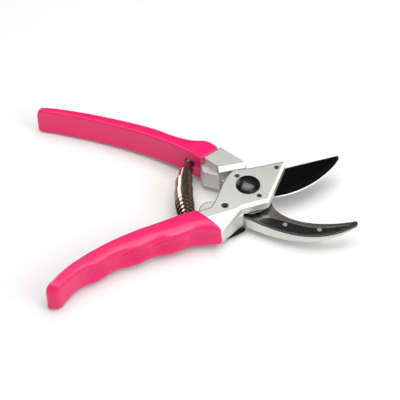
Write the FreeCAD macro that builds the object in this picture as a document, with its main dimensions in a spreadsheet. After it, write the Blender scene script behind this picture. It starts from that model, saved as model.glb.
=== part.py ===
import FreeCAD, Part
import math
import os

import Sketcher

# Bypass snips for flowers and light pruning.  Millimetres, +Z up.
# The origin lies on the pivot axis, at the flat underside of the pivot nut.
# +X points between the open jaws, the blade and the hook handle's grip lie on +Y.

SIZES = {
    # stack on the pivot axis, from the nut's underside upwards
    "nut_thickness": 3.2,
    "washer_thickness": 0.8,
    "arm_thickness": 6.3,
    "insert_thickness": 1.2,
    "blade_thickness": 3.0,
    "plate_thickness": 6.0,
    "ledge_drop": 5.0,
    # pivot
    "bolt_radius": 4.0,
    "thread_radius": 3.0,
    "head_radius": 6.9,
    "head_height": 1.5,
    "dome_rise": 0.9,
    "rim_round": 0.35,
    "running_gap": 0.05,
    "bush_radius": 5.5,
    "washer_radius": 7.0,
    "nut_flats": 11.0,
    "nut_cap": 0.8,
    # castings
    "hub_radius": 15.5,
    "hub_front_radius": 13.4,
    "neck_radius": 16.0,
    "edge_bevel": 1.5,
    "riser_bevel": 2.2,
    "small_bevel": 0.5,
    "neck_bevel_angle": 47.0,
    "tang_bottom": 7.2,
    "tang_height": 10.0,
    "blade_tang_half": 2.6,
    "hook_tang_half": 2.2,
    "tang_gap": 0.1,
    # grips
    "grip_bottom": 3.2,
    "grip_height": 18.0,
    "blade_grip_round": 3.5,
    "hook_grip_round": 2.2,
    # blade, hook and their fixings
    "pin_radius": 1.4,
    "pin_recess": 3.2,
    "bevel_width": 2.4,
    "rivet_radius": 1.25,
    "rivet_sink": 3.2,
    "groove_depth": 0.35,
    "arm_thinning_angle": 6.0,
    # thumb lock
    "lock_pin_radius": 1.95,
    "lock_pin_recess": 3.0,
    "lock_head_radius": 3.2,
    "lock_head_height": 0.8,
    "lock_washer_thickness": 0.35,
    "lock_washer_radius": 3.0,
    "lever_thickness": 2.2,
    "lever_gap": 0.1,
    "keeper_radius": 1.4,
    "keeper_orbit": 12.5,
    "keeper_angle": 151.0,
    "lever_angle": 119.5,
    # spring
    "stud_radius": 2.0,
    "stud_length": 6.0,
    "stud_sunk": 4.0,
    "socket_radius": 5.2,
    "spring_end_radius": 3.0,
    "spring_middle_radius": 5.2,
    "spring_strip": 0.9,
}

# Levels above the nut's underside, as expressions of the sizes.
HUB_BOTTOM = "Sizes.nut_thickness + Sizes.washer_thickness"
ARM_TOP = HUB_BOTTOM + " + Sizes.arm_thickness"
SHEAR_PLANE = ARM_TOP + " + Sizes.insert_thickness"
INSERT_TOP = SHEAR_PLANE + " - Sizes.running_gap"
PLATE_BOTTOM = SHEAR_PLANE + " + Sizes.blade_thickness"
PLATE_TOP = PLATE_BOTTOM + " + Sizes.plate_thickness"
LEDGE_TOP = PLATE_TOP + " - Sizes.ledge_drop"
GRIP_MIDDLE = "Sizes.grip_bottom + Sizes.grip_height / 2"

# Places in plan that several pieces share.
NECK_FACET_LINE = [(-25.6, -22.6), (14.0, -9.8)]
BLADE_PINS = [(-5.5, 7.7), (5.3, -8.2), (17.2, 12.5)]
HOOK_RIVETS = [(18.5, -22.6), (36.9, -27.8)]
LOCK_PIN = (-14.2, -14.1)
BLADE_SPRING_SEAT = (-35.6, -19.4)
HOOK_SPRING_SEAT = (-29.7, 30.2)
BLADE_SEAT_ANGLE = 94.0
HOOK_SEAT_ANGLE = 252.0
BLADE_TANG = [
    (-21.5, -21.4), (-33.0, -24.3), (-46.0, -28.0), (-63.5, -34.2), (-81.0, -42.2), (-97.0, -51.8),
]
HOOK_TANG = [(-17.5, 26.0), (-29.0, 33.2), (-46.0, 43.3), (-64.0, 52.4), (-88.0, 61.9)]
BLADE_GRIP_FRONT = [(-30.4, -16.4), (-18.6, -28.7)]
HOOK_GRIP_FRONT = [(-24.8, 22.0), (-12.4, 30.4)]
HEAD_END = [(-0.4, 15.2), (0.7, 17.0)]

doc = FreeCAD.newDocument("floral_snips")
sheet = doc.addObject("Spreadsheet::Sheet", "Sizes")
for row, (alias, value) in enumerate(SIZES.items(), start=1):
    sheet.set(f"A{row}", alias)
    sheet.set(f"B{row}", str(value))
    sheet.setAlias(f"B{row}", alias)
doc.recompute()

nodes = []


def size(alias):
    """A driving dimension, read back from the sheet."""
    return float(sheet.get(alias))


def level(expression):
    """The height in millimetres that a level's expression stands for."""
    return sum(size(term.strip().removeprefix("Sizes.")) * sign for sign, term in signed_terms(expression))


def signed_terms(expression):
    """The added and taken-away terms of a sum."""
    terms = []
    for part in expression.split(" + "):
        first, *rest = part.split(" - ")
        terms.append((1, first))
        terms.extend((-1, term) for term in rest)
    return terms


def polar(radius, degrees, centre=(0.0, 0.0)):
    """A point at a radius and an angle from a centre."""
    angle = math.radians(degrees)
    return centre[0] + radius * math.cos(angle), centre[1] + radius * math.sin(angle)


def between(ends, share):
    """A point part of the way from the first end to the second."""
    (ax, ay), (bx, by) = ends
    return ax + share * (bx - ax), ay + share * (by - ay)


def vector(point, z=0.0):
    return FreeCAD.Vector(point[0], point[1], z)


# ---------------------------------------------------------------- sketch and feature helpers

def new_body(name):
    body = doc.addObject("PartDesign::Body", name)
    body.Label = name
    return body


def new_sketch(body, name, height="0", plane="XY_Plane"):
    """A sketch on one of the body's own origin planes, raised to a height."""
    sketch = body.newObject("Sketcher::SketchObject", name)
    support = next(f for f in body.Origin.OriginFeatures if f.Role == plane)
    sketch.AttachmentSupport = [(support, "")]
    sketch.MapMode = "FlatFace"
    sketch.setExpression(".AttachmentOffset.Base.z", height)
    return sketch


def add_circle(sketch, centre, radius):
    """A circle whose radius follows an expression of the sizes."""
    index = sketch.addGeometry(Part.Circle(vector(centre), FreeCAD.Vector(0, 0, 1), 1.0))
    constraint = sketch.addConstraint(Sketcher.Constraint("Radius", index, 1.0))
    sketch.setExpression(f"Constraints[{constraint}]", radius)


def draw(sketch, start, steps):
    """Draw a closed outline.  A step is a point (line), two points (arc) or a list (smooth curve)."""
    here = start
    for step in steps:
        if isinstance(step, list):
            curve = Part.BSplineCurve()
            curve.interpolate([vector(point) for point in [here] + step])
            sketch.addGeometry(curve)
            here = step[-1]
        elif isinstance(step[0], tuple):
            middle, here_next = step
            sketch.addGeometry(Part.Arc(vector(here), vector(middle), vector(here_next)))
            here = here_next
        else:
            sketch.addGeometry(Part.LineSegment(vector(here), vector(step)))
            here = step
    if math.dist(here, start) > 1e-6:
        sketch.addGeometry(Part.LineSegment(vector(here), vector(start)))


def pad(body, sketch, length):
    feature = body.newObject("PartDesign::Pad", sketch.Name + "_pad")
    feature.Profile = sketch
    feature.setExpression("Length", length)
    sketch.Visibility = False
    doc.recompute()
    return feature


def pocket(body, sketch, length):
    """Cut upwards from the sketch, and make sure that something was cut."""
    before = body.Shape.Volume
    feature = body.newObject("PartDesign::Pocket", sketch.Name + "_pocket")
    feature.Profile = sketch
    feature.Reversed = True
    feature.setExpression("Length", length)
    doc.recompute()
    if not body.Shape.Volume < before:
        raise RuntimeError(sketch.Name + " cuts nothing")
    return feature


def revolve(body, sketch):
    feature = body.newObject("PartDesign::Revolution", sketch.Name + "_turned")
    feature.Profile = sketch
    feature.ReferenceAxis = (sketch, ["V_Axis"])
    feature.Angle = 360.0
    doc.recompute()
    return feature


def edges_where(feature, test):
    """The names of a feature's edges that pass a test of the edge's middle point and its ends."""
    names = []
    for index, edge in enumerate(feature.Shape.Edges, start=1):
        middle = edge.valueAt((edge.FirstParameter + edge.LastParameter) / 2)
        flat = edge.BoundBox.ZLength < 1e-4
        if test(middle, flat):
            names.append(f"Edge{index}")
    return names


def dress(body, kind, name, base, test, **sizes):
    """A fillet or chamfer on the edges that pass a test."""
    feature = body.newObject("PartDesign::" + kind, name)
    feature.Base = (base, edges_where(base, test))
    if "Size2" in sizes:
        feature.ChamferType = "Two distances"
    for key, expression in sizes.items():
        feature.setExpression(key, expression)
    doc.recompute()
    return feature


def at_level(z):
    return lambda middle, flat: flat and abs(middle.z - z) < 1e-3


def cylinder(name, radius, height, base, direction):
    solid = doc.addObject("Part::Cylinder", name)
    solid.setExpression("Radius", radius)
    solid.setExpression("Height", height)
    turn = FreeCAD.Rotation(FreeCAD.Vector(0, 0, 1), direction)
    solid.Placement = FreeCAD.Placement(base, turn)
    return solid


def combine(kind, name, base, tool):
    result = doc.addObject("Part::" + kind, name)
    result.Base = base
    result.Tool = tool
    result.Label = name
    doc.recompute()
    return result


def finish(node):
    """Count an object as one of the pieces."""
    nodes.append(node)
    return node


def strip(points, half):
    """Both sides of a band of even width along a row of points."""
    left = []
    right = []
    for index, point in enumerate(points):
        before = points[max(index - 1, 0)]
        after = points[min(index + 1, len(points) - 1)]
        run = math.dist(before, after)
        across = ((before[1] - after[1]) / run, (after[0] - before[0]) / run)
        left.append((point[0] + half * across[0], point[1] + half * across[1]))
        right.append((point[0] - half * across[0], point[1] - half * across[1]))
    return left, right


def draw_strip(sketch, points, half):
    left, right = strip(points, half)
    draw(sketch, left[0], [left[1:], right[-1], right[-2::-1]])


# ---------------------------------------------------------------- the handle that carries the blade

def plate_outline():
    """The top plate and neck, from the rounded rear corner clockwise seen from above."""
    back, front = between(BLADE_GRIP_FRONT, 0.1), BLADE_GRIP_FRONT[1]
    return (-8.4, 10.7), [
        ((-7.1, 11.9), (-5.0, 12.3)),
        [(2.4, 12.8), (13.9, 14.9), (20.4, 16.2)],
        ((22.2, 16.0), (22.6, 14.6)),
        (11.2, -10.9),
        ((10.4, -12.1), (9.0, -12.8)),
        [(2.5, -14.4), (-3.4, -15.9)],
        ((-5.2, -16.7), (-6.8, -18.0)),
        front,
        back,
        (-23.4, -15.7),
        ((-22.0, -15.1), (-21.2, -13.9)),
        [(-16.4, -4.2), (-12.4, 5.0), (-8.4, 10.7)],
    ]


def neck_outline():
    """The neck below the plate, hollowed round the hub, with the ear that stops the closing handles."""
    neck = size("neck_radius")
    return (-3.9, -16.1), [
        polar(neck, 248),
        (polar(neck, 224), polar(neck, 200)),
        (-20.4, -5.5),
        ((-26.4, -7.6), (-28.2, -12.6)),
        between(BLADE_GRIP_FRONT, 0.1),
        BLADE_GRIP_FRONT[1],
        (-6.8, -18.0),
    ]


def make_blade_handle_casting():
    body = new_body("blade_handle_blank")
    plate = new_sketch(body, "plate", PLATE_BOTTOM)
    draw(plate, *plate_outline())
    pad(body, plate, "Sizes.plate_thickness")
    neck = new_sketch(body, "neck", HUB_BOTTOM)
    draw(neck, *neck_outline())
    pad(body, neck, f"{PLATE_BOTTOM} - ({HUB_BOTTOM})")
    tang = new_sketch(body, "blade_tang", "Sizes.tang_bottom")
    draw_strip(tang, BLADE_TANG, size("blade_tang_half"))
    blank = pad(body, tang, "Sizes.tang_height")

    top = level(PLATE_TOP)

    def front_edge(middle, flat):
        return flat and abs(middle.z - top) < 1e-3 and middle.x > 9.9 and middle.y < 15.6

    dress(body, "Chamfer", "front_bevel", blank, front_edge, Size="Sizes.edge_bevel")

    holes = new_sketch(body, "blade_handle_holes", PLATE_BOTTOM)
    add_circle(holes, (0, 0), "Sizes.bolt_radius + Sizes.running_gap")
    for place in BLADE_PINS:
        add_circle(holes, place, "Sizes.pin_radius")
    pocket(body, holes, "Sizes.plate_thickness")
    lock = new_sketch(body, "lock_pin_hole", HUB_BOTTOM)
    add_circle(lock, LOCK_PIN, "Sizes.lock_pin_radius")
    pocket(body, lock, f"{PLATE_TOP} - ({HUB_BOTTOM})")

    # one sloping plane makes the plate's near bevel and the wide facet on the neck
    facet = doc.addObject("Part::Box", "neck_facet")
    facet.Length, facet.Width, facet.Height = 60, 30, 30
    rear, front = NECK_FACET_LINE
    heading = math.degrees(math.atan2(rear[1] - front[1], rear[0] - front[0]))
    along = FreeCAD.Rotation(FreeCAD.Vector(0, 0, 1), heading)
    slope = FreeCAD.Rotation(FreeCAD.Vector(1, 0, 0), -size("neck_bevel_angle"))
    facet.Placement = FreeCAD.Placement(vector(front), along * slope)
    facet.setExpression(".Placement.Base.z", PLATE_TOP)
    doc.recompute()
    faceted = combine("Cut", "blade_handle_faceted", body, facet)
    stud = spring_peg(
        "blade_spring_stud", BLADE_SPRING_SEAT, BLADE_SEAT_ANGLE, size("stud_sunk"), "Sizes.stud_radius",
    )
    return finish(combine("Fuse", "blade_handle_casting", faceted, stud))


def spring_peg(name, seat, degrees, sunk, radius):
    """A round peg along the spring's end, at the grips' middle level, that starts below its seat."""
    aim = vector(polar(1.0, degrees))
    peg = cylinder(name, radius, "Sizes.stud_length", vector(seat) - aim * sunk, aim)
    peg.setExpression(".Placement.Base.z", GRIP_MIDDLE)
    return peg


# ---------------------------------------------------------------- grips

def add_rib(body, name, inner, outer, share, rounding):
    """A rounded upright rectangle across the handle, between its inner and outer side."""
    width = math.dist(inner, outer)
    half = size("grip_height") / 2 * share
    round_off = min(rounding, 0.42 * width, 0.9 * half)
    rib = new_sketch(body, name)
    middle = ((inner[0] + outer[0]) / 2, (inner[1] + outer[1]) / 2)
    across = math.degrees(math.atan2(outer[1] - inner[1], outer[0] - inner[0]))
    upright = FreeCAD.Rotation(FreeCAD.Vector(0, 0, 1), across) * FreeCAD.Rotation(FreeCAD.Vector(1, 0, 0), 90)
    rib.AttachmentOffset = FreeCAD.Placement(vector(middle), upright)
    rib.setExpression(".AttachmentOffset.Base.z", GRIP_MIDDLE)
    right, top = width / 2, half
    flat_right, flat_top = right - round_off, top - round_off
    corner = round_off * math.sqrt(0.5)
    steps = []
    for sx, sy in ((1, 1), (-1, 1), (-1, -1), (1, -1)):
        beside = (sx * right, sy * flat_top)
        above = (sx * flat_right, sy * top)
        bulge = (sx * (flat_right + corner), sy * (flat_top + corner))
        steps += [beside, (bulge, above)] if sx == sy else [above, (bulge, beside)]
    draw(rib, (right, -flat_top), steps)
    return rib


def make_grip(name, ribs, tip_shares, tang, rounding, seat, degrees):
    """A moulded grip lofted over its ribs, hollow for the tang, with a socket for the spring's end."""
    body = new_body(name + "_moulding")
    shares = [1.0] * (len(ribs) - len(tip_shares)) + tip_shares
    sketches = [
        add_rib(body, f"{name}_rib_{index}", inner, outer, share, rounding)
        for index, ((inner, outer), share) in enumerate(zip(ribs, shares), start=1)
    ]
    loft = body.newObject("PartDesign::AdditiveLoft", name + "_loft")
    loft.Profile = sketches[0]
    loft.Sections = sketches[1:]
    doc.recompute()
    hollow = new_sketch(body, name + "_hollow", "Sizes.tang_bottom - Sizes.tang_gap")
    draw_strip(hollow, *tang)
    pocket(body, hollow, "Sizes.tang_height + 2 * Sizes.tang_gap")
    hole_radius = "Sizes.stud_radius + Sizes.tang_gap"
    stud_hole = spring_peg(name + "_stud_hole", seat, degrees, size("stud_sunk"), hole_radius)
    socket = spring_peg(name + "_socket", seat, degrees, 0.0, "Sizes.socket_radius")
    drilled = combine("Cut", name + "_drilled", body, stud_hole)
    return finish(combine("Cut", name, drilled, socket))


def make_blade_handle_grip():
    """The lower grip: four finger recesses along its outer side and a hooked end."""
    ribs = [
        (BLADE_GRIP_FRONT[0], BLADE_GRIP_FRONT[1]),
        ((-36.7, -18.0), (-29.4, -28.9)),
        ((-41.5, -19.8), (-35.4, -30.5)),
        ((-46.5, -21.8), (-41.0, -32.7)),
        ((-51.5, -23.7), (-46.4, -34.3)),
        ((-57.0, -25.8), (-52.0, -35.0)),
        ((-62.4, -27.8), (-57.4, -36.9)),
        ((-67.5, -30.0), (-62.4, -39.6)),
        ((-72.2, -32.2), (-67.6, -41.2)),
        ((-77.5, -34.9), (-73.0, -42.6)),
        ((-82.5, -37.8), (-77.6, -44.8)),
        ((-87.5, -41.0), (-81.8, -47.8)),
        ((-92.0, -44.0), (-86.2, -50.6)),
        ((-96.5, -47.4), (-90.6, -52.2)),
        ((-101.0, -50.9), (-94.8, -54.4)),
        ((-105.3, -54.6), (-99.2, -58.0)),
        ((-109.0, -58.4), (-102.8, -61.6)),
        ((-111.6, -62.6), (-105.4, -64.6)),
        ((-111.8, -65.8), (-107.4, -67.0)),
    ]
    gap = size("tang_gap")
    tang = (BLADE_TANG, size("blade_tang_half") + gap)
    return make_grip(
        "blade_handle_grip", ribs, [0.97, 0.86, 0.5], tang, size("blade_grip_round"),
        BLADE_SPRING_SEAT, BLADE_SEAT_ANGLE,
    )


def make_hook_handle_grip():
    """The upper grip: a slim bar with a thumb flare at its front."""
    ribs = [
        (HOOK_GRIP_FRONT[0], HOOK_GRIP_FRONT[1]),
        ((-30.0, 27.0), (-19.2, 36.6)),
        ((-36.0, 31.7), (-28.0, 38.2)),
        ((-43.5, 36.7), (-37.7, 42.4)),
        ((-51.2, 41.5), (-46.7, 48.0)),
        ((-60.3, 46.3), (-56.3, 52.8)),
        ((-69.5, 50.8), (-66.3, 57.0)),
        ((-78.7, 54.8), (-76.2, 60.8)),
        ((-88.0, 58.5), (-85.9, 64.4)),
        ((-97.4, 61.9), (-95.7, 67.4)),
        ((-106.4, 65.0), (-105.0, 70.0)),
        ((-113.4, 67.0), (-112.6, 71.2)),
        ((-117.2, 68.6), (-116.8, 70.8)),
    ]
    gap = size("tang_gap")
    tang = (HOOK_TANG, size("hook_tang_half") + gap)
    return make_grip(
        "hook_handle_grip", ribs, [0.96, 0.72], tang, size("hook_grip_round"),
        HOOK_SPRING_SEAT, HOOK_SEAT_ANGLE,
    )


# ---------------------------------------------------------------- the handle that carries the hook

def hook_edges():
    """The hook's outer edge from the hub to the tip, and its inner edge from the tip to the hub."""
    outer = [(4.8, -20.9), (15.2, -26.9), (25.7, -31.0), (36.5, -32.4), (47.8, -30.7), (57.0, -26.7)]
    tip = ((58.5, -25.2), (57.6, -23.4))
    inner = [(48.7, -24.3), (37.7, -23.8), (26.9, -21.1), (18.6, -16.2), (14.3, -11.2), (12.9, -5.2)]
    return outer, tip, inner


def head_outline():
    """The block in front of the hook handle's grip, down to the face that the ear meets."""
    return HOOK_GRIP_FRONT[0], [
        (-24.2, 19.0),
        ((-23.8, 17.2), (-22.2, 16.1)),
        (-15.3, 13.3),
        (-15.0, 12.7),
        *HEAD_END,
        HOOK_GRIP_FRONT[1],
    ]


def make_hook_handle_casting():
    hub = size("hub_radius")
    front_hub = size("hub_front_radius")
    outer, tip, inner = hook_edges()
    root = polar(hub, 239)
    body = new_body("hook_handle_blank")

    arm = new_sketch(body, "hook_arm", HUB_BOTTOM)
    draw(arm, root, [
        outer[0], outer[1:], tip, inner, polar(front_hub, -20),
        (polar(front_hub, 25), polar(front_hub, 70)),
        HEAD_END[1], (-13.3, 13.0), polar(hub, 149),
        (polar(hub, 194), root),
    ])
    pad(body, arm, "Sizes.arm_thickness")

    disc = new_sketch(body, "hub_disc", ARM_TOP)
    draw(disc, root, [
        polar(front_hub, 251),
        (polar(front_hub, -20), polar(front_hub, 70)),
        HEAD_END[1], (-13.3, 13.0), polar(hub, 149),
        (polar(hub, 194), root),
    ])
    pad(body, disc, "Sizes.insert_thickness")

    block = new_sketch(body, "head_block", HUB_BOTTOM)
    draw(block, *head_outline())
    pad(body, block, f"{LEDGE_TOP} - ({HUB_BOTTOM})")

    head = new_sketch(body, "head_top", LEDGE_TOP)
    draw(head, between(HOOK_GRIP_FRONT, 0.16), [
        (-15.4, 16.0), (-15.0, 12.7), *HEAD_END, HOOK_GRIP_FRONT[1],
    ])
    pad(body, head, "Sizes.ledge_drop")

    tang = new_sketch(body, "hook_tang", "Sizes.tang_bottom")
    draw_strip(tang, HOOK_TANG, size("hook_tang_half"))
    blank = pad(body, tang, "Sizes.tang_height")

    top = level(PLATE_TOP)

    def riser_edge(middle, flat):
        return flat and abs(middle.z - top) < 1e-3 and middle.y < 14.6 and -15 < middle.x < -3

    dress(body, "Chamfer", "riser_bevel", blank, riser_edge, Size="Sizes.riser_bevel")

    bore = new_sketch(body, "hub_bore", HUB_BOTTOM)
    add_circle(bore, (0, 0), "Sizes.bush_radius")
    pocket(body, bore, f"{SHEAR_PLANE} - ({HUB_BOTTOM})")
    keeper = new_sketch(body, "keeper_hole", HUB_BOTTOM)
    add_circle(keeper, polar(size("keeper_orbit"), size("keeper_angle")), "Sizes.keeper_radius")
    pocket(body, keeper, "Sizes.arm_thickness")
    rivets = new_sketch(body, "arm_rivet_holes", HUB_BOTTOM)
    for place in HOOK_RIVETS:
        add_circle(rivets, place, "Sizes.rivet_radius")
    pocket(body, rivets, "Sizes.arm_thickness")

    # the arm thins towards its tip, from below
    thin = doc.addObject("Part::Box", "arm_thinning")
    thin.Length, thin.Width, thin.Height = 70, 40, 20
    start = FreeCAD.Vector(8, -50, level(HUB_BOTTOM))
    rise = FreeCAD.Rotation(FreeCAD.Vector(0, 1, 0), -size("arm_thinning_angle"))
    below = rise.multVec(FreeCAD.Vector(0, 0, -thin.Height.Value))
    thin.Placement = FreeCAD.Placement(start + below, rise)
    doc.recompute()
    thinned = combine("Cut", "hook_handle_thinned", body, thin)
    stud = spring_peg(
        "hook_spring_stud", HOOK_SPRING_SEAT, HOOK_SEAT_ANGLE, size("stud_sunk"), "Sizes.stud_radius",
    )
    return finish(combine("Fuse", "hook_handle_casting", thinned, stud))


# ---------------------------------------------------------------- cutting pieces

def make_counter_blade():
    """The steel hook insert, riveted on the arm, that the blade shears past."""
    outer, tip, inner = hook_edges()
    rim = size("hub_front_radius") + 0.1
    body = new_body("counter_blade")
    outline = new_sketch(body, "counter_blade_outline", ARM_TOP)
    draw(outline, polar(rim + 0.5, 255), [
        outer[0], outer[1:], tip, inner,
        polar(rim, -21), (polar(rim, 295), polar(rim, 255)),
    ])
    pad(body, outline, "Sizes.insert_thickness - Sizes.running_gap")
    groove = new_sketch(body, "sap_groove", f"{INSERT_TOP} - Sizes.groove_depth")
    draw(groove, (3.6, -18.4), [
        [(10.8, -17.2), (19.0, -20.3), (30.0, -25.0), (40.0, -26.6), (50.0, -26.0), (53.6, -25.9)],
        [(46.0, -29.4), (36.5, -31.0), (25.9, -29.8), (15.4, -25.7), (6.0, -20.4)],
    ])
    pocket(body, groove, "Sizes.groove_depth")
    holes = new_sketch(body, "counter_blade_holes", ARM_TOP)
    for place in HOOK_RIVETS:
        add_circle(holes, place, "Sizes.rivet_radius")
    pocket(body, holes, "Sizes.insert_thickness")
    return finish(body)


def blade_outline(bevel):
    """The blade from the spine round the tip and belly, the belly drawn back by the ground bevel."""
    spine = [(31.8, 19.0), (43.7, 21.9)]
    tip = (55.2 - 0.4 * bevel, 24.7 - 0.1 * bevel)
    edge = [(52.5, 19.8), (46.0, 12.7), (37.1, 5.6), (26.7, 0.3), (20.9, -1.5)]
    lean = [(-0.8, 0.4), (-0.75, 0.66), (-0.6, 0.8), (-0.36, 0.93), (-0.2, 0.98)]
    belly = [(x + bevel * dx, y + bevel * dy) for (x, y), (dx, dy) in zip(edge, lean)]
    return (-3.0, 11.2), [
        (12.0, 13.6),
        (23.6, 16.9),
        spine + [tip],
        belly + [(13.0, -2.3 + 0.8 * bevel)],
        (11.4, -3.4),
        (9.2, -8.8),
        ((6.8, -11.4), (3.4, -11.6)),
        ((-8.4, -8.4), (-12.0, 1.4)),
        (-8.6, 9.0),
    ]


def make_cutting_blade():
    body = new_body("cutting_blade")
    lower = new_sketch(body, "blade_lower_outline", SHEAR_PLANE)
    draw(lower, *blade_outline(0.0))
    upper = new_sketch(body, "blade_upper_outline", PLATE_BOTTOM)
    draw(upper, *blade_outline(size("bevel_width")))
    loft = body.newObject("PartDesign::AdditiveLoft", "blade_ground")
    loft.Profile = lower
    loft.Sections = [upper]
    loft.Ruled = True
    doc.recompute()
    holes = new_sketch(body, "blade_holes", SHEAR_PLANE)
    add_circle(holes, (0, 0), "Sizes.bolt_radius + Sizes.running_gap")
    for place in BLADE_PINS:
        add_circle(holes, place, "Sizes.pin_radius")
    pocket(body, holes, "Sizes.blade_thickness")
    return finish(body)


def make_pins(name, places, radius, bottom, length):
    """A group of plain round pins, one solid each, in a single piece file."""
    pins = []
    for index, place in enumerate(places, start=1):
        pin = doc.addObject("Part::Cylinder", f"{name}_{index}")
        pin.setExpression("Radius", radius)
        pin.setExpression("Height", length)
        pin.Placement.Base = vector(place)
        pin.setExpression(".Placement.Base.z", bottom)
        pins.append(pin)
    group = doc.addObject("Part::Compound", name)
    group.Links = pins
    group.Label = name
    doc.recompute()
    return finish(group)


# ---------------------------------------------------------------- pivot

def make_pivot_bolt():
    """Shouldered bolt with a low domed head, drawn as a half section and turned."""
    body = new_body("pivot_bolt")
    profile = new_sketch(body, "bolt_profile", plane="XZ_Plane")
    top = level(PLATE_TOP)
    bottom = level(HUB_BOTTOM)
    end = size("nut_cap") + 0.1
    crown = top + size("head_height")
    thread, shank, head = size("thread_radius"), size("bolt_radius"), size("head_radius")
    rise, rounding = size("dome_rise"), size("rim_round")
    rim = head - rounding
    edge = crown - rise
    sphere = (rim ** 2 + rise ** 2) / (2 * rise)
    halfway = crown - sphere + math.sqrt(sphere ** 2 - rim ** 2 / 4)
    shoulder = (head - 0.3 * rounding, edge - 0.3 * rounding)
    draw(profile, (0, end), [
        (thread - 0.4, end), (thread, end + 0.4), (thread, bottom), (shank, bottom), (shank, top),
        (head, top), (head, edge - rounding), (shoulder, (rim, edge)), ((rim / 2, halfway), (0, crown)),
    ])
    revolve(body, profile)
    return finish(body)


def make_ring(name, inner, outer, bottom, height):
    """A plain washer or bush on the pivot axis."""
    body = new_body(name)
    ring = new_sketch(body, name + "_ring", bottom)
    add_circle(ring, (0, 0), outer)
    add_circle(ring, (0, 0), inner)
    pad(body, ring, height)
    return finish(body)


def make_pivot_nut():
    """A hexagon nut, closed below, that the snips rest on."""
    body = new_body("pivot_nut")
    hexagon = new_sketch(body, "nut_hexagon")
    corner = size("nut_flats") / math.sqrt(3)
    corners = [polar(corner, 60 * index) for index in range(6)]
    draw(hexagon, corners[0], corners[1:])
    blank = pad(body, hexagon, "Sizes.nut_thickness")
    dress(body, "Chamfer", "nut_bevel", blank, at_level(0.0), Size="Sizes.small_bevel")
    thread = new_sketch(body, "nut_thread", "Sizes.nut_cap")
    add_circle(thread, (0, 0), "Sizes.thread_radius")
    pocket(body, thread, "Sizes.nut_thickness - Sizes.nut_cap")
    return finish(body)


# ---------------------------------------------------------------- thumb lock

LEVER_TOP = HUB_BOTTOM + " - Sizes.lever_gap"
LEVER_BOTTOM = LEVER_TOP + " - Sizes.lever_thickness"


def make_lock_lever():
    """Flat catch lever: a finger with a nose one way, a thumb tab the other.  Own origin at its pin."""
    body = new_body("lock_lever")
    outline = new_sketch(body, "lever_outline", LEVER_BOTTOM)
    boss = 3.7
    draw(outline, polar(boss, 18), [
        (8.0, 1.1),
        (12.8, 1.1),
        ((13.6, 0.6), (13.7, -0.4)),
        (13.3, -3.2),
        ((12.4, -3.9), (11.5, -3.5)),
        (11.3, -1.1),
        (6.5, -1.1),
        polar(boss, 325),
        (polar(boss, 290), polar(boss, 262)),
        (-7.3, -8.0),
        ((-8.3, -8.4), (-8.6, -7.5)),
        [(-8.6, -4.3), (-8.2, 2.0)],
        ((-7.7, 3.9), (-6.0, 4.1)),
        polar(boss, 115),
        (polar(boss, 66), polar(boss, 18)),
    ])
    blank = pad(body, outline, "Sizes.lever_thickness")
    dress(body, "Fillet", "lever_rounding", blank, lambda middle, flat: flat, Radius="0.3 mm")
    bore = new_sketch(body, "lever_bore", LEVER_BOTTOM)
    add_circle(bore, (0, 0), "Sizes.lock_pin_radius + Sizes.running_gap")
    pocket(body, bore, "Sizes.lever_thickness")
    turn = FreeCAD.Rotation(FreeCAD.Vector(0, 0, 1), size("lever_angle"))
    body.Placement = FreeCAD.Placement(vector(LOCK_PIN), turn)
    body.setExpression(".Placement.Rotation.Angle", "Sizes.lever_angle")
    doc.recompute()
    return finish(body)


def make_lock_pin():
    """Headed pin that the lever turns on, its plain end showing in the top plate."""
    body = new_body("lock_pin")
    profile = new_sketch(body, "lock_pin_profile", plane="XZ_Plane")
    head_top = level(LEVER_BOTTOM) - size("lock_washer_thickness")
    head_bottom = head_top - size("lock_head_height")
    radius = size("lock_pin_radius")
    end = level(PLATE_TOP) - size("lock_pin_recess")
    draw(profile, (0, head_bottom), [
        (size("lock_head_radius") - 0.3, head_bottom), (size("lock_head_radius"), head_bottom + 0.3),
        (size("lock_head_radius"), head_top), (radius, head_top), (radius, end - 0.3),
        (radius - 0.3, end), (0, end),
    ])
    revolve(body, profile)
    body.Placement.Base = vector(LOCK_PIN)
    doc.recompute()
    return finish(body)


def make_lock_spring_washer():
    """Thin washer that keeps the lever pressed against the neck."""
    body = new_body("lock_spring_washer")
    ring = new_sketch(body, "lock_washer_ring", LEVER_BOTTOM + " - Sizes.lock_washer_thickness")
    add_circle(ring, (0, 0), "Sizes.lock_washer_radius")
    add_circle(ring, (0, 0), "Sizes.lock_pin_radius + Sizes.running_gap")
    pad(body, ring, "Sizes.lock_washer_thickness")
    body.Placement.Base = vector(LOCK_PIN)
    doc.recompute()
    return finish(body)


# ---------------------------------------------------------------- spring

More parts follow.
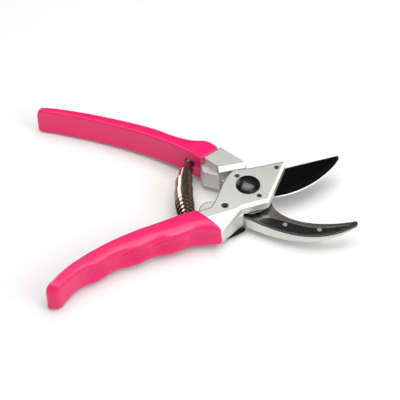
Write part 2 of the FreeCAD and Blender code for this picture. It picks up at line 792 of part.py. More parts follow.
def make_volute_spring():
    """Double volute spring: a spindle of overlapping rings of flat strip, drawn as a half section."""
    start = vector(polar(1.2, BLADE_SEAT_ANGLE, BLADE_SPRING_SEAT))
    end = vector(polar(1.2, HOOK_SEAT_ANGLE, HOOK_SPRING_SEAT))
    length = (end - start).Length
    rings = 13
    pitch = length / rings
    strip_thickness = size("spring_strip")

    def radius_at(index):
        swell = math.sin(math.pi * (index + 0.5) / rings)
        return size("spring_end_radius") + swell * (size("spring_middle_radius") - size("spring_end_radius"))

    radii = [radius_at(index) for index in range(rings)]
    outer = []
    inner = []
    for index, radius in enumerate(radii):
        low, high = index * pitch, (index + 1) * pitch
        outer += [(radius, low), (radius, high)]
        inner += [(radius - strip_thickness, low), (radius - strip_thickness, high)]
    body = new_body("volute_spring")
    profile = new_sketch(body, "spring_profile", plane="XZ_Plane")
    points = outer + inner[::-1]
    steps = [point for point, previous in zip(points[1:], points) if math.dist(point, previous) > 1e-6]
    draw(profile, points[0], steps)
    revolve(body, profile)
    axis = end - start
    middle_height = size("grip_bottom") + size("grip_height") / 2
    base = start + FreeCAD.Vector(0, 0, middle_height)
    body.Placement = FreeCAD.Placement(base, FreeCAD.Rotation(FreeCAD.Vector(0, 0, 1), axis))
    doc.recompute()
    return finish(body)


make_blade_handle_casting()
make_blade_handle_grip()
make_hook_handle_casting()
make_hook_handle_grip()
make_counter_blade()
make_cutting_blade()
make_pins("blade_pins", BLADE_PINS, "Sizes.pin_radius", SHEAR_PLANE,
          "Sizes.blade_thickness + Sizes.plate_thickness - Sizes.pin_recess")
make_pins("counter_blade_rivets", HOOK_RIVETS, "Sizes.rivet_radius", HUB_BOTTOM + " + Sizes.rivet_sink",
          "Sizes.arm_thickness + Sizes.insert_thickness - Sizes.running_gap - Sizes.rivet_sink")
make_pins("lock_keeper_pin", [polar(size("keeper_orbit"), size("keeper_angle"))], "Sizes.keeper_radius",
          LEVER_BOTTOM, f"{ARM_TOP} - ({LEVER_BOTTOM})")
make_pivot_bolt()
make_ring("pivot_bush", "Sizes.bolt_radius + Sizes.running_gap", "Sizes.bush_radius", HUB_BOTTOM,
          f"{SHEAR_PLANE} - ({HUB_BOTTOM})")
make_ring("pivot_washer", "Sizes.thread_radius + Sizes.running_gap", "Sizes.washer_radius",
          "Sizes.nut_thickness", "Sizes.washer_thickness")
make_pivot_nut()
make_lock_lever()
make_lock_pin()
make_lock_spring_washer()
make_volute_spring()

doc.recompute()
for thing in doc.Objects:
    if "Invalid" in thing.State or "Error" in thing.State:
        raise RuntimeError(f"{thing.Name} failed: {thing.State}")
for node in nodes:
    if node.Shape.isNull() or not node.Shape.isValid():
        raise RuntimeError(node.Label + " has no valid shape")

os.makedirs("parts", exist_ok=True)
for node in nodes:
    node.Shape.exportStep(f"parts/{node.Label}.step")
    print(node.Label, len(node.Shape.Solids), round(node.Shape.Volume, 1))
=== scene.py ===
import math

import bmesh
import bpy
import numpy as np
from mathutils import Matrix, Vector


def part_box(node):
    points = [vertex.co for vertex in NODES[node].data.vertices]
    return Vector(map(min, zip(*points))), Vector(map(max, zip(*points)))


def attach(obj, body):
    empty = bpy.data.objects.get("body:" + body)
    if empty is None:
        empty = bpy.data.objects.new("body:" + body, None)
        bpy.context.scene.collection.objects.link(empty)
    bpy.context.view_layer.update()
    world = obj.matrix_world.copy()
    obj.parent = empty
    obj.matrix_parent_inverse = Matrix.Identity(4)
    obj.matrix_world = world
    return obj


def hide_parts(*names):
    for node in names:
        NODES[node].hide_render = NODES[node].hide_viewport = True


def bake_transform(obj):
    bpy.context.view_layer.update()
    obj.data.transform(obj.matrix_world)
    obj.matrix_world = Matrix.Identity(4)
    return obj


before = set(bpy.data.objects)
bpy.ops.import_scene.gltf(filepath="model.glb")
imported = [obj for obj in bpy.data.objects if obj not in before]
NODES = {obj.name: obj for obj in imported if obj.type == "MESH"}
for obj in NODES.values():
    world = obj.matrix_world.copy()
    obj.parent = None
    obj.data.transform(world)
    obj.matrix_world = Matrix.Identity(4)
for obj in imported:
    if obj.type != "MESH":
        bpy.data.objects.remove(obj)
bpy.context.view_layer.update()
MM = 0.001

# ---------------------------------------------------------------- driving sizes of the grips, in mm

GRIP_BOTTOM = 3.2
GRIP_HEIGHT = 18.0
# Each station is a pair of points in plan: on the grip's inner side and on its outer side.
BLADE_GRIP_STATIONS = [
    ((-30.4, -16.4), (-18.6, -28.7)),
    ((-36.7, -18.0), (-29.4, -28.9)),
    ((-41.5, -19.8), (-35.4, -30.5)),
    ((-46.5, -21.8), (-41.0, -32.7)),
    ((-51.5, -23.7), (-46.4, -34.3)),
    ((-57.0, -25.8), (-52.0, -35.0)),
    ((-62.4, -27.8), (-57.4, -36.9)),
    ((-67.5, -30.0), (-62.4, -39.6)),
    ((-72.2, -32.2), (-67.6, -41.2)),
    ((-77.5, -34.9), (-73.0, -42.6)),
    ((-82.5, -37.8), (-77.6, -44.8)),
    ((-87.5, -41.0), (-81.8, -47.8)),
    ((-92.0, -44.0), (-86.2, -50.6)),
    ((-96.5, -47.4), (-90.6, -52.2)),
    ((-101.0, -50.9), (-94.8, -54.4)),
    ((-105.3, -54.6), (-98.9, -58.2)),
    ((-109.0, -58.4), (-102.4, -61.9)),
    ((-112.4, -62.3), (-104.8, -65.0)),
    ((-114.2, -65.6), (-106.0, -67.6)),
]
HOOK_GRIP_STATIONS = [
    ((-24.8, 22.0), (-12.4, 30.4)),
    ((-30.0, 27.0), (-19.2, 36.6)),
    ((-36.0, 31.7), (-28.0, 38.2)),
    ((-43.5, 36.7), (-37.7, 42.4)),
    ((-51.2, 41.5), (-46.7, 48.0)),
    ((-60.3, 46.3), (-56.3, 52.8)),
    ((-69.5, 50.8), (-66.3, 57.0)),
    ((-78.7, 54.8), (-76.2, 60.8)),
    ((-88.0, 58.5), (-85.9, 64.4)),
    ((-97.4, 61.9), (-95.7, 67.4)),
    ((-106.4, 65.0), (-105.0, 70.0)),
    ((-113.4, 67.0), (-112.6, 71.2)),
    ((-117.3, 68.5), (-116.9, 71.0)),
]
# Finger recesses on the outer side: the middle's station number, half length in stations, depth and
# half height; and the height of their middles within the grip.
FINGER_RECESSES = [
    (1.0, 1.35, 1.8, 6.2),
    (4.2, 1.7, 2.7, 6.1),
    (7.7, 1.85, 2.7, 6.0),
    (11.9, 2.1, 2.2, 5.8),
]
RECESS_MIDDLE = 9.7
# The front edge: station numbers over its rounding, its radius, and where it swells forward.
FRONT_RIM = [0.0, 0.02, 0.05, 0.09, 0.15]
RIM_RADIUS = 0.4
SWELL_STATIONS = 0.7
SWELL_LEVEL = 6.5
SWELL_HALF = 11.5
# The rounded end: the height it closes towards, and the shares of the width and the height that are
# left just before it closes.
END_LEVEL = 4.0
END_WIDTH = 0.28
END_HEIGHT = 0.55
# Rows of points along a grip, from the station number where its plain body starts, and steps round a
# section's corners and along its sides
BODY_START = 0.2
ROWS_PER_STATION = 10
END_ROWS = 16
CORNER_STEPS = 12
SIDE_STEPS = 12
# Degrees between faces from which an edge is left sharp
SHARP_ANGLE = 50

# ---------------------------------------------------------------- driving sizes of the spring, in mm

SPRING_LEVEL = 12.2
# Middle line in plan, from the blade handle to the hook handle, and what is left free at its ends
SPRING_LINE = [
    (-35.2, -20.0),
    (-34.9, -12.5),
    (-35.5, -4.0),
    (-35.5, 4.0),
    (-34.6, 12.5),
    (-32.6, 21.0),
    (-29.6, 29.5),
]
SPRING_INSET = 1.2
# Share of the length at which the spring is widest, and the turns below and above it
SPRING_WIDEST = 0.42
LOWER_TURNS = 8
UPPER_TURNS = 4
STRIP_THICKNESS = 0.42
# How far the strip's edges lean off the spindle; and how far they fan out on the left, with the shares
# of the length where that is most and over which it fades on both sides
STRIP_LEAN = 0.22
FAN_OUT = 0.50
FAN_MIDDLE = 0.18
FAN_HALF = 0.25
SPRING_ROWS = 900
LINE_SAMPLES = 400
# Hollows in the grips for the spring's ends: seat in plan, direction and radius
BLADE_SOCKET = ((-35.2, -19.0), 94.0, 5.2)
HOOK_SOCKET = ((-29.6, 30.0), 249.0, 3.2)
SOCKET_LENGTH = 15.0
SOCKET_SIDES = 48


# ---------------------------------------------------------------- helpers for shapes

def rise(value, start, full):
    """0 up to a start, 1 from a full value on, and a straight rise between them."""
    return min(max((value - start) / (full - start), 0.0), 1.0)


def fade(value, length):
    """1 at 0, falling straight to 0 at a length."""
    return 1 - rise(value, 0.0, length)


def hump(value, middle, half):
    """1 at a middle, falling on a parabola to 0 on both sides of it."""
    return max(1 - ((value - middle) / half) ** 2, 0.0)


def new_object(name, data):
    """A scene object holding a mesh, a light or a camera."""
    thing = bpy.data.objects.new(name, data)
    bpy.context.scene.collection.objects.link(thing)
    return thing


def skin(rows):
    """A closed tube of quads through rows of points, with its ends filled."""
    mesh = bpy.data.meshes.new("skin")
    across = len(rows[0])
    last = (len(rows) - 1) * across
    points = [tuple(point) for row in rows for point in row]
    faces = []
    for start in range(0, last, across):
        for j in range(across):
            k = (j + 1) % across
            faces.append((start + j, start + k, start + across + k, start + across + j))
    faces.append(tuple(range(across))[::-1])
    faces.append(tuple(range(last, last + across)))
    mesh.from_pydata(points, [], faces)
    mesh.validate()
    shape = bmesh.new()
    shape.from_mesh(mesh)
    bmesh.ops.recalc_face_normals(shape, faces=shape.faces)
    shape.to_mesh(mesh)
    shape.free()
    return mesh


def smooth(mesh):
    """Smooth shading, except over sharp edges."""
    mesh.shade_smooth()
    mesh.set_sharp_from_angle(angle=math.radians(SHARP_ANGLE))


def catmull(points, t):
    """A point of a smooth curve through points, at a station number."""
    i = min(max(int(t), 0), len(points) - 2)
    f = t - i
    p1, p2 = points[i], points[i + 1]
    p0 = points[i - 1] if i > 0 else 2 * p1 - p2
    p3 = points[i + 2] if i + 2 < len(points) else 2 * p2 - p1
    first = p2 - p0
    second = 2 * p0 - 5 * p1 + 4 * p2 - p3
    third = 3 * p1 - 3 * p2 + p3 - p0
    return 0.5 * (2 * p1 + first * f + second * f ** 2 + third * f ** 3)


def rounded_section(width, height, corners):
    """A closed section in (across, up) whose corners have their own radii across and up.

    Corners go round from the inner bottom: inner bottom, outer bottom, outer top, inner top."""
    turns = [(-1, -1, 180), (1, -1, 270), (1, 1, 0), (-1, 1, 90)]
    arcs = []
    for (side, lift, start), (rx, rz) in zip(turns, corners):
        cx = rx if side < 0 else width - rx
        cz = rz if lift < 0 else height - rz
        angles = [math.radians(start + 90 * k / CORNER_STEPS) for k in range(CORNER_STEPS + 1)]
        arcs.append([(cx + rx * math.cos(angle), cz + rz * math.sin(angle)) for angle in angles])
    outline = []
    for index, arc in enumerate(arcs):
        outline += arc
        (x0, z0), (x1, z1) = arc[-1], arcs[(index + 1) % 4][0]
        shares = [k / SIDE_STEPS for k in range(1, SIDE_STEPS)]
        outline += [(x0 + (x1 - x0) * share, z0 + (z1 - z0) * share) for share in shares]
    return outline


# ---------------------------------------------------------------- the two grips

def grip_mesh(stations, corners_at, shape_at, cap, swell):
    """A grip lofted over its stations.

    cap is the length in stations of the rounded end, and swell how far in mm the front edge bulges
    forward on the outer side."""
    inner = [np.array(pair[0]) for pair in stations]
    outer = [np.array(pair[1]) for pair in stations]
    last = len(stations) - 1
    body_end = last - cap
    body_rows = last * ROWS_PER_STATION
    body = [BODY_START + (body_end - BODY_START) * k / body_rows for k in range(body_rows)]
    end = [body_end + cap * math.sin(math.pi / 2 * k / END_ROWS) for k in range(END_ROWS)] + [last]
    # the way the front faces, from the first stretch of the middle line
    forward = catmull(inner, 0.0) + catmull(outer, 0.0) - catmull(inner, 0.6) - catmull(outer, 0.6)
    forward = forward / np.linalg.norm(forward)
    rows = []
    for t in FRONT_RIM + body + end:
        a, b = catmull(inner, t), catmull(outer, t)
        width = float(np.linalg.norm(b - a))
        across = (b - a) / width
        # the section closes on a quarter circle over the rounded end
        left = math.sqrt(max(1 - (max(t - body_end, 0) / cap) ** 2, 0.0))
        wide = END_WIDTH + (1 - END_WIDTH) * left if t < last else 0.0
        high = END_HEIGHT + (1 - END_HEIGHT) * left if t < last else 0.0
        lip = RIM_RADIUS * (1 - math.sqrt(1 - fade(t, FRONT_RIM[-1]) ** 2))
        row = []
        for w, h in rounded_section(width, GRIP_HEIGHT, corners_at(t, width)):
            w, h = shape_at(t, w, h, width)
            bulge = swell * fade(t, SWELL_STATIONS) ** 2 * (w / width) * hump(h, SWELL_LEVEL, SWELL_HALF)
            w = width / 2 + (w - width / 2) * (1 - 2 * lip / width) * wide
            h = GRIP_HEIGHT / 2 + (h - GRIP_HEIGHT / 2) * (1 - 2 * lip / GRIP_HEIGHT)
            h = END_LEVEL + (h - END_LEVEL) * high
            point = a + across * w + forward * bulge
            row.append((point[0] * MM, point[1] * MM, (GRIP_BOTTOM + h) * MM))
        rows.append(row)
    return skin(rows)


def blade_grip_corners(t, width):
    """A broad shoulder along the outer top and small radii elsewhere, changing towards the tail."""
    tail = rise(t, 8.0, 14.0)
    # round the end the lower edges are crisper and the inner top edge is well rounded
    crisp = 1 - 0.55 * rise(t, 15.0, 17.0)
    end = rise(t, 13.5, 16.5)
    return [
        (2.4 * crisp, 3.0 * crisp),
        (3.6 * crisp, 5.0 * crisp),
        ((0.40 - 0.20 * tail) * width, 4.6 - 1.2 * tail),
        (1.7 + 1.4 * end, 1.8 + 3.4 * end),
    ]


def blade_grip_shape(t, w, h, width):
    """Scoops the finger recesses into the outer side, which stands proud, and crowns the top."""
    share = w / width
    depth = 0.0
    for middle, half, deep, tall in FINGER_RECESSES:
        reach = ((t - middle) / half) ** 2 + ((h - RECESS_MIDDLE) / tall) ** 2
        if reach < 1:
            depth += deep * (1 - reach) ** 1.3 * rise(share, 0.55, 0.90)
    crown = 0.5 * max(share - 0.25, 0) ** 2 * rise(h, 12.0, 17.0) ** 2
    proud = (0.5 + 0.7 * fade(t, 1.5)) * share
    return w - depth + proud, h - crown


def hook_grip_corners(t, width):
    """Crisp edges on the inner side, and softer outer ones."""
    soft = min(3.2, 0.42 * width)
    return [(1.5, 1.8), (soft, 3.0), (soft, 3.0), (1.3, 1.4)]


def hook_grip_shape(t, w, h, width):
    """Makes the inner side faintly hollow between its edges, and rounds the flare's front."""
    hollow = 0.35 * hump(h, GRIP_HEIGHT / 2, 7.5)
    w += hollow * max(1 - 2 * w / width, 0)
    rounding = 2.6 * fade(t, 0.35) ** 2 * max(w / width - 0.6, 0) / 0.4
    return w - rounding, h


def carve(target, cutter):
    """Cuts one object's mesh out of another's and throws the cutter away."""
    change = target.modifiers.new("cut", "BOOLEAN")
    change.operation = "DIFFERENCE"
    change.solver = "EXACT"
    change.object = cutter
    bpy.context.view_layer.update()
    graph = bpy.context.evaluated_depsgraph_get()
    result = bpy.data.meshes.new_from_object(target.evaluated_get(graph))
    target.modifiers.clear()
    target.data = result
    bpy.data.objects.remove(cutter)


def spring_socket(seat, degrees, radius):
    """A round cutter, a little narrower at the seat, for the hollow that takes the spring's end."""
    angle = math.radians(degrees)
    direction = Vector((math.cos(angle), math.sin(angle), 0))
    side = Vector((-direction.y, direction.x, 0))
    rows = []
    for along, size in [(0.0, radius * 0.92), (0.4, radius), (SOCKET_LENGTH, radius)]:
        centre = Vector((seat[0], seat[1], SPRING_LEVEL)) + direction * along
        rows.append([
            (centre + (side * math.cos(a) + Vector((0, 0, math.sin(a)))) * size) * MM
            for a in (math.tau * k / SOCKET_SIDES for k in range(SOCKET_SIDES))
        ])
    return new_object("socket_cutter", skin(rows))


# ---------------------------------------------------------------- the spring

def spring_radius(u):
    """Radius of the spindle at a share of its length from the blade handle."""
    if u < SPRING_WIDEST:
        return 2.9 + 2.4 * math.sin(math.pi / 2 * max(u, 0) / SPRING_WIDEST)
    return 1.2 + 4.1 * math.cos(math.pi / 2 * rise(u, SPRING_WIDEST, 1.0)) ** 0.9


def spring_turns(u):
    """Turns wound up to a share of the length: close below the widest coil, long above it."""
    if u < SPRING_WIDEST:
        return LOWER_TURNS * u / SPRING_WIDEST
    return LOWER_TURNS + UPPER_TURNS * (u - SPRING_WIDEST) / (1 - SPRING_WIDEST)


def strip_half_width(u):
    """Half the strip's width: narrow below, wide above, and tapered at both ends."""
    half = 2.1 + 2.3 * rise(u, 0.38, 0.58)
    return half * min(1, 0.35 + 4 * u, 0.25 + 4 * (1 - u))


def spring_mesh():
    """Flat strip wound into overlapping coils along the spring's line."""
    line = [np.array(point) for point in SPRING_LINE]
    last = len(line) - 1
    samples = np.array([catmull(line, last * k / LINE_SAMPLES) for k in range(LINE_SAMPLES + 1)])
    steps = np.linalg.norm(np.diff(samples, axis=0), axis=1)
    lengths = np.concatenate([[0], np.cumsum(steps)])
    total = lengths[-1]

    def centre(distance):
        return np.array([np.interp(distance, lengths, samples[:, axis]) for axis in (0, 1)])

    rows = []
    for k in range(SPRING_ROWS + 1):
        u = k / SPRING_ROWS
        distance = SPRING_INSET + u * (total - 2 * SPRING_INSET)
        angle = math.tau * spring_turns(u)
        here = centre(distance)
        ahead = centre(min(distance + 0.5, total)) - centre(max(distance - 0.5, 0))
        ahead = ahead / np.linalg.norm(ahead)
        side = np.array([-ahead[1], ahead[0]])
        # the strip leans so that each coil overlaps the next smaller one, and fans out on the left
        lean = STRIP_LEAN * math.tanh((u - SPRING_WIDEST) * 14)
        lean -= FAN_OUT * max(math.cos(angle), 0) * fade(abs(u - FAN_MIDDLE), FAN_HALF)
        half = strip_half_width(u)
        row = []
        for along, out in ((-half, 0), (-half, STRIP_THICKNESS), (half, STRIP_THICKNESS), (half, 0)):
            radius = spring_radius(u + 0.4 * along / total) + lean * along / half + out - STRIP_THICKNESS
            place = here + ahead * along + side * radius * math.cos(angle)
            row.append((place[0] * MM, place[1] * MM, (SPRING_LEVEL + radius * math.sin(angle)) * MM))
        rows.append(row)
    return skin(rows)


# ---------------------------------------------------------------- helpers for node trees

class Nodes:
    """Adds nodes to a tree. An input is a value or another node's socket."""

    def __init__(self, tree):
        self.tree = tree

    def connect(self, value, socket):
        """Links or sets an input; a colour may leave out its alpha."""
        if isinstance(value, bpy.types.NodeSocket):
            self.tree.links.new(value, socket)
        elif socket.type == "RGBA" and len(value) == 3:
            socket.default_value = (*value, 1.0)
        else:
            socket.default_value = value

    def node(self, kind, inputs=None, **settings):
        """A new node with its settings and inputs."""
        node = self.tree.nodes.new("ShaderNode" + kind)
        for key, value in settings.items():
            setattr(node, key, value)
        for key, value in (inputs or {}).items():
            self.connect(value, node.inputs[key])
        return node

    def remap(self, value, low, high, to_low=0.0, to_high=1.0):
        """A value carried from one range to another and held at its ends."""
        ranges = {"From Min": low, "From Max": high, "To Min": to_low, "To Max": to_high}
        return self.node("MapRange", {"Value": value, **ranges}).outputs["Result"]

    def maths(self, operation, a, b):
        """The result of an operation on two numbers."""
        return self.node("Math", {0: a, 1: b}, operation=operation).outputs["Value"]

    def vector(self, operation, *values, result="Vector"):
        """The result of an operation on vectors."""
        return self.node("VectorMath", dict(enumerate(values)), operation=operation).outputs[result]

    def parts(self, vector):
        """The X, Y and Z of a vector."""
        return self.node("SeparateXYZ", {0: vector}).outputs


class Surface(Nodes):
    """A node material with one principled shader."""

    def __init__(self, name):
        self.material = bpy.data.materials.new(name)
        self.material.use_nodes = True
        super().__init__(self.material.node_tree)
        self.shader = self.tree.nodes["Principled BSDF"]
        # coordinates in metres that stay with the piece
        self.place = self.node("TexCoord").outputs["Object"]

    def set(self, inputs):
        """Sets or links the shader's inputs, and gives back the material."""
        for name, value in inputs.items():
            self.connect(value, self.shader.inputs[name])
        return self.material

    def noise(self, scale, detail=3.0, roughness=0.55, stretch=(1.0, 1.0, 1.0)):
        """Noise over the piece, about 0 to 1; stretch multiplies its coordinates."""
        place = self.node("Mapping", {"Vector": self.place, "Scale": stretch}).outputs["Vector"]
        inputs = {"Vector": place, "Scale": scale, "Detail": detail, "Roughness": roughness}
        return self.node("TexNoise", inputs).outputs["Fac"]

    def mix(self, share, first, second):
        """A colour between two, by a share of the second."""
        # the mix node's inputs for colours are the seventh and the eighth
        return self.node("Mix", data_type="RGBA", inputs={0: share, 6: first, 7: second}).outputs[2]

    def rounded(self, radius):
        """The normal that the piece would have with its edges rounded."""
        return self.node("Bevel", {"Radius": radius}, samples=6).outputs["Normal"]

    def turned(self, normal, start=1.0, full=0.8):
        """0 where a normal is the face's own, 1 where it has turned well away from it.

        start and full are cosines of the angle between the two."""
        own = self.node("NewGeometry").outputs["Normal"]
        return self.remap(self.vector("DOT_PRODUCT", normal, own, result="Value"), start, full)

    def bump(self, height, strength, normal=None, distance=0.0001):
        """A normal with fine relief."""
        inputs = {"Height": height, "Strength": strength, "Distance": distance}
        if normal is not None:
            inputs["Normal"] = normal
        return self.node("Bump", inputs).outputs["Normal"]


# ---------------------------------------------------------------- materials

BLADE_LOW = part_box("cutting_blade")[0][2]
# Heights above the blade's underside at which its ground bevel begins to be bare and is bare
BARE_FROM = 0.00062
BARE_FULL = 0.00045
HOOK_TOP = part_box("counter_blade")[1][2]
# Painted shade on the hook's outer rim, outside a circle: its centre, and radii where it begins and is
# full
HOOK_CENTRE = (0.0363, 0.0080, HOOK_TOP)
HOOK_RIM_SHADE_FROM = 0.0378
HOOK_RIM_SHADE_FULL = 0.0384
# How fast the bolt head's shading normals lean outward, per metre from the axis: to the sides and the
# front, and to the back; and their lean on the axis
DOME_TILT = 46.0
DOME_BACK = -12.0
DOME_TIP = -0.11
# Distances from the axis between which the bolt head's painted reflection fades, for a painted dark rim
PAINTED_REFLECTION_FULL = 0.0030
PAINTED_REFLECTION_WEAK = 0.0056


def moulded_pink():
    """Pink plastic with a fine grain."""
    surface = Surface("moulded_pink")
    cloud = surface.noise(45, 2)
    colour = surface.mix(cloud, (0.90, 0.005, 0.135), (0.95, 0.010, 0.168))
    # less pink is thrown on the table than the full colour would throw
    bounced = surface.node("LightPath").outputs["Is Diffuse Ray"]
    return surface.set({
        "Base Color": surface.mix(bounced, colour, (0.52, 0.055, 0.125)),
        "Roughness": surface.remap(surface.noise(160, 2), 0.0, 1.0, 0.25, 0.36),
        "Normal": surface.bump(surface.noise(2600, 4, 0.6), 0.10, distance=0.0002),
        "Specular IOR Level": 0.50,
        "Subsurface Weight": 0.12,
        "Subsurface Radius": (1.0, 0.2, 0.3),
        "Subsurface Scale": 0.0012,
    })


def cast_aluminium():
    """Blasted aluminium with edges rubbed bright, and painted shade on edges facing the back left."""
    surface = Surface("cast_aluminium")
    rounded = surface.rounded(0.00035)
    blast = surface.noise(3200, 5, 0.7)
    body = surface.mix(surface.noise(120), (0.66, 0.66, 0.625), (0.74, 0.74, 0.705))
    rubbed = surface.mix(surface.turned(rounded), body, (0.95, 0.95, 0.94))
    # painted shade: edges facing the back left are painted near black
    wide = surface.rounded(0.0015)
    away = surface.vector("DOT_PRODUCT", wide, (-0.7, 0.7, 0.0), result="Value")
    painted_edge_shade = surface.maths("MULTIPLY", surface.remap(away, 0.20, 0.40), surface.turned(wide, 0.985, 0.94))
    return surface.set({
        "Base Color": surface.mix(painted_edge_shade, rubbed, (0.03, 0.03, 0.028)),
        "Metallic": 1.0,
        "Roughness": surface.remap(blast, 0.3, 0.7, 0.42, 0.56),
        "Normal": surface.bump(blast, 0.22, rounded, distance=0.00012),
    })


def coated_blade():
    """Black low-friction coating, bare on the last of the ground edge."""
    surface = Surface("coated_blade")
    speck = surface.noise(1400, 5, 0.7)
    streak = surface.noise(260, 4, 0.6, stretch=(1.0, 5.0, 1.0))
    coat = surface.mix(speck, (0.0008, 0.0008, 0.0007), (0.004, 0.0045, 0.004))
    low = surface.remap(surface.parts(surface.place)["Z"], BLADE_LOW + BARE_FROM, BLADE_LOW + BARE_FULL)
    upward = surface.parts(surface.node("NewGeometry").outputs["Normal"])["Z"]
    bare = surface.maths("MULTIPLY", low, surface.maths("GREATER_THAN", upward, 0.25))
    return surface.set({
        "Base Color": surface.mix(bare, coat, (0.86, 0.86, 0.84)),
        "Metallic": bare,
        "Roughness": surface.remap(streak, 0.3, 0.7, 0.34, 0.5),
        "Specular IOR Level": 0.03,
        "Normal": surface.bump(speck, 0.12, surface.rounded(0.0002)),
    })


def hook_steel():
    """Ground steel, brownish along the cutting side, with painted shade near black in the sap groove."""
    surface = Surface("hook_steel")
    rounded = surface.rounded(0.00025)
    brushed = surface.noise(900, 5, 0.65, stretch=(0.25, 1.6, 1.0))
    parts = surface.parts(surface.place)
    top = surface.remap(parts["Z"], HOOK_TOP - 0.0003, HOOK_TOP - 0.0001)
    # painted reflection: the band is painted lighter at the left and darker towards the right
    along = surface.remap(parts["X"], 0.012, 0.050)
    band = surface.mix(along, (0.31, 0.275, 0.235), (0.15, 0.14, 0.125))
    # painted shade: everything below the top face, the sap groove among it, is near black
    groove = surface.mix(brushed, (0.034, 0.0335, 0.035), (0.075, 0.073, 0.077))
    # painted shade: the top's outer rim near the tip is darkened like the groove
    reach = surface.vector("DISTANCE", surface.place, HOOK_CENTRE, result="Value")
    rim = surface.remap(reach, HOOK_RIM_SHADE_FROM, HOOK_RIM_SHADE_FULL)
    band = surface.mix(rim, band, (0.10, 0.11, 0.104))
    body = surface.mix(top, groove, band)
    return surface.set({
        "Base Color": surface.mix(surface.turned(rounded), body, (0.25, 0.25, 0.24)),
        "Metallic": 1.0,
        "Roughness": surface.remap(brushed, 0.3, 0.7, 0.24, 0.36),
        "Normal": surface.bump(brushed, 0.10, rounded),
    })


def turned_steel(name, dark, light):
    """Steel turned on a lathe, between two shades."""
    surface = Surface(name)
    marks = surface.noise(1500, 4, 0.6)
    return surface.set({
        "Base Color": surface.mix(marks, dark, light),
        "Metallic": 1.0,
        "Roughness": 0.3,
        "Normal": surface.bump(marks, 0.1, surface.rounded(0.0002)),
    })


def bright_steel():
    """Steel of the rivets, the washers, the nut and the keeper pin."""
    return turned_steel("bright_steel", (0.60, 0.60, 0.58), (0.76, 0.76, 0.74))


def shaded_pin_steel():
    """Steel of the pins sunk in the plate, painted near black as the shade in their holes."""
    return turned_steel("shaded_pin_steel", (0.020, 0.020, 0.020), (0.055, 0.055, 0.053))


def black_head():
    """Blackened bolt head, its reflection painted strong on the crown and weak at the rim."""
    surface = Surface("black_head")
    rounded = surface.rounded(0.0003)
    dust = surface.noise(700, 5, 0.7)
    in_plan = surface.vector("MULTIPLY", surface.place, (1.0, 1.0, 0.0))
    off_axis = surface.vector("LENGTH", in_plan, result="Value")
    # the reflections turn as on a steeper crown, tipped to the front, whose back half is nearly flat
    parts = surface.parts(surface.place)
    front = surface.maths("MULTIPLY", parts["Y"], DOME_TILT)
    back = surface.maths("MULTIPLY", parts["Y"], DOME_BACK)
    lean = surface.node("CombineXYZ", {
        "X": surface.maths("MULTIPLY", parts["X"], DOME_TILT),
        "Y": surface.maths("ADD", surface.maths("MINIMUM", front, back), DOME_TIP),
    }).outputs["Vector"]
    tilted = surface.vector("NORMALIZE", surface.vector("ADD", rounded, lean))
    return surface.set({
        "Base Color": surface.mix(surface.turned(rounded), (0.004, 0.004, 0.0045), (0.05, 0.05, 0.052)),
        "Roughness": surface.remap(dust, 0.35, 0.7, 0.16, 0.22),
        "Specular IOR Level": 1.0,
        # painted reflection: strong on the crown, fading to weak towards the rim
        "Specular Tint": surface.remap(off_axis, PAINTED_REFLECTION_FULL, PAINTED_REFLECTION_WEAK, 1.0, 0.15),
        "Normal": surface.bump(dust, 0.03, tilted),
    })


def black_lever():
    """Satin black of the thumb lever, darkened further as painted shade under the neck."""
    surface = Surface("black_lever")
    rounded = surface.rounded(0.00025)
    return surface.set({
        # painted shade: a near zero black, darker than the lever's own black
        "Base Color": surface.mix(surface.turned(rounded), (0.002, 0.002, 0.002), (0.015, 0.015, 0.015)),
        "Roughness": 0.45,
        "Specular IOR Level": 0.1,
        "Normal": surface.bump(surface.noise(1800, 4, 0.6), 0.15, rounded),
    })


def spring_steel():
    """Brownish strip, clouded by its heat treatment."""
    surface = Surface("spring_steel")
    brushed = surface.noise(1200, 4, 0.6)
    return surface.set({
        "Base Color": surface.mix(surface.noise(110), (0.20, 0.155, 0.112), (0.31, 0.25, 0.19)),
        "Metallic": 1.0,
        "Roughness": surface.remap(brushed, 0.3, 0.7, 0.18, 0.30),
        "Normal": surface.bump(brushed, 0.05),
    })


def bush_bronze():
    """Bronze of the pivot bush."""
    surface = Surface("bush_bronze")
    marks = surface.noise(1500, 4, 0.6)
    return surface.set({
        "Base Color": surface.mix(marks, (0.62, 0.42, 0.2), (0.74, 0.54, 0.3)),
        "Metallic": 1.0,
        "Roughness": 0.35,
    })


CAD_PIECES = {
    cast_aluminium: ["blade_handle_casting", "hook_handle_casting"],
    coated_blade: ["cutting_blade"],
    hook_steel: ["counter_blade"],
    bright_steel: [
        "counter_blade_rivets", "pivot_washer", "pivot_nut", "lock_spring_washer", "lock_keeper_pin",
    ],
    shaded_pin_steel: ["blade_pins", "lock_pin"],
    black_head: ["pivot_bolt"],
    black_lever: ["lock_lever"],
    bush_bronze: ["pivot_bush"],
}
for make, names in CAD_PIECES.items():
    material = make()
    for name in names:
        mesh = NODES[name].data
        mesh.materials.clear()
        mesh.materials.append(material)


# ---------------------------------------------------------------- pieces that replace CAD pieces

PINK = moulded_pink()


def add_grip(name, mesh, socket, body, node):
    """A pink grip with its socket carved, riding a body in place of its CAD node."""
    grip = new_object(name, mesh)
    carve(grip, spring_socket(*socket))
    smooth(grip.data)
    grip.data.materials.clear()
    grip.data.materials.append(PINK)
    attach(grip, body)
    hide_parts(node)


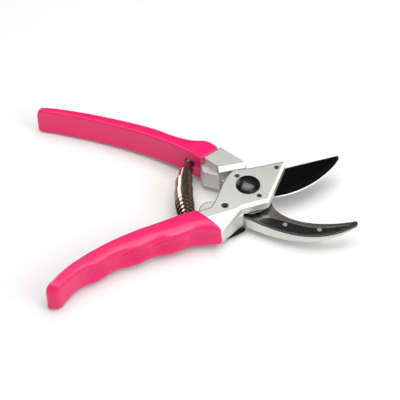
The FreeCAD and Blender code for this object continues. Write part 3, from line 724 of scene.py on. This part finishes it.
blade_grip = grip_mesh(BLADE_GRIP_STATIONS, blade_grip_corners, blade_grip_shape, cap=1.6, swell=1.3)
hook_grip = grip_mesh(HOOK_GRIP_STATIONS, hook_grip_corners, hook_grip_shape, cap=0.9, swell=0.0)
add_grip("blade_grip_moulding", blade_grip, BLADE_SOCKET, "blade_handle", "blade_handle_grip")
add_grip("hook_grip_moulding", hook_grip, HOOK_SOCKET, "hook_handle", "hook_handle_grip")

spring = new_object("volute_spring_strip", spring_mesh())
smooth(spring.data)
spring.data.materials.append(spring_steel())
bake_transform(spring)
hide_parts("volute_spring")

# ---------------------------------------------------------------- floor, light and camera

FLOOR_HALF = 6.0
# In metres: the floor lies this gap under the nut at this place along X, and rises from there to the
# undersides of the grips' ends, 106 mm behind.
FLOOR_GAP = 0.0002
FLOOR_START = -0.006
FLOOR_SLOPE = GRIP_BOTTOM / 106.0
# Faint light of its own that only the camera sees
FLOOR_GLOW = 0.07


def pale_floor():
    """A white table under the nut and the grips' ends."""
    surface = Surface("pale_floor")
    seen = surface.node("LightPath").outputs["Is Camera Ray"]
    material = surface.set({
        "Base Color": surface.mix(surface.noise(400), (0.93, 0.93, 0.93), (0.95, 0.95, 0.95)),
        "Roughness": 0.7,
        "Specular IOR Level": 0.05,
        "Emission Color": (1.0, 1.0, 1.0),
        "Emission Strength": surface.maths("MULTIPLY", seen, FLOOR_GLOW),
    })
    half = FLOOR_HALF
    corners = [(-half, -half), (half, -half), (half, half), (-half, half)]
    points = [(x, y, -FLOOR_GAP - (x - FLOOR_START) * FLOOR_SLOPE) for x, y in corners]
    mesh = bpy.data.meshes.new("floor")
    mesh.from_pydata(points, [], [(0, 1, 2, 3)])
    mesh.materials.append(material)
    new_object("floor", mesh)


def softbox(name, place, target, size, brightness):
    """A rectangular light facing a point; brightness is its radiance, where a lit floor is about 1."""
    data = bpy.data.lights.new(name, "AREA")
    data.shape = "RECTANGLE"
    data.size, data.size_y = size
    data.energy = brightness * math.pi * size[0] * size[1]
    lamp = new_object(name, data)
    lamp.location = place
    lamp.rotation_euler = (Vector(target) - Vector(place)).to_track_quat("-Z", "Y").to_euler()
    return lamp


def studio_world():
    """White walls up to a low height all round and higher in front, a darker room above them."""
    world = bpy.data.worlds.new("studio")
    world.use_nodes = True
    bpy.context.scene.world = world
    nodes = Nodes(world.node_tree)
    direction = nodes.parts(nodes.node("TexCoord").outputs["Generated"])
    wall = nodes.remap(direction["Z"], 0.28, 0.10)
    front = nodes.remap(direction["Y"], 0.0, -0.5, 0.0, 0.5)
    strength = nodes.remap(nodes.maths("MAXIMUM", wall, front), 0.0, 1.0, 0.14, 0.75)
    background = world.node_tree.nodes["Background"]
    nodes.connect((1.0, 1.0, 1.0), background.inputs["Color"])
    nodes.connect(strength, background.inputs["Strength"])


def photo_camera():
    """The camera, solved from the outlines in the photo."""
    data = bpy.data.cameras.new("camera")
    data.lens = 129.6
    data.sensor_width = 36.0
    data.clip_start = 0.01
    camera = new_object("camera", data)
    camera.location = (-0.0685, -0.5430, 0.6047)
    camera.rotation_euler = (math.radians(42.5), 0.0, math.radians(-4.4))
    bpy.context.scene.camera = camera


pale_floor()
softbox("overhead", (0.0, 0.04, 0.8), (-0.02, 0, 0), (0.8, 0.7), 2.9)
softbox("front_right", (0.72, -0.47, 0.70), (0, 0, 0), (0.7, 0.7), 2.3)
# these are only seen as reflections
for reflection in (
    softbox("ridge_reflection", (0.42, -0.50, 0.72), (0, 0, 0), (0.45, 0.55), 3.4),
    softbox("right_reflection", (1.0, 0.22, 0.38), (0, 0, 0), (0.7, 0.6), 2.2),
    softbox("left_reflection", (-0.66, 0.76, 0.44), (-0.03, 0, 0), (0.36, 0.55), 7.5),
):
    reflection.visible_diffuse = False
studio_world()
photo_camera()
bpy.context.scene.view_settings.view_transform = "Standard"
